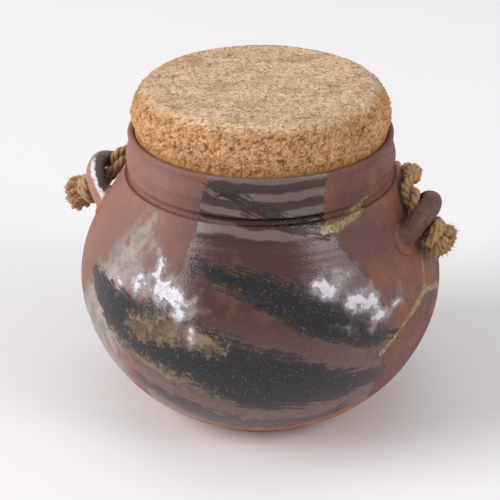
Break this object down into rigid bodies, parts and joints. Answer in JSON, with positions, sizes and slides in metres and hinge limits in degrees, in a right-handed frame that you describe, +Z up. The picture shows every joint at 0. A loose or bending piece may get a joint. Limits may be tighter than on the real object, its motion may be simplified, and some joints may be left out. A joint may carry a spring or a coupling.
{
  "type": "onion pot",
  "caption": "Round glazed stoneware storage pot with a grooved collar, looped side lugs, a knotted rope handle lying back on its shoulder and a cork bung that fills its wide mouth.",
  "frame": {"origin": "centre of the foot on the ground", "axes": "+Z up along the pot's turning axis, the lugs lie on the X axis, +Y towards the side where the rope lies behind the neck"},
  "size_m": [0.2121, 0.1816, 0.1682],
  "materials": {
    "stoneware": "reddish brown stoneware, part glossy glaze, part bare clay",
    "cork": "agglomerated cork, matte and granular",
    "rope": "jute rope, matte and hairy"
  },
  "bodies": {
    "root": {"pot": "stoneware", "cork": "cork", "rope": "rope", "knot_left": "rope", "knot_right": "rope"}
  },
  "joints": []
}
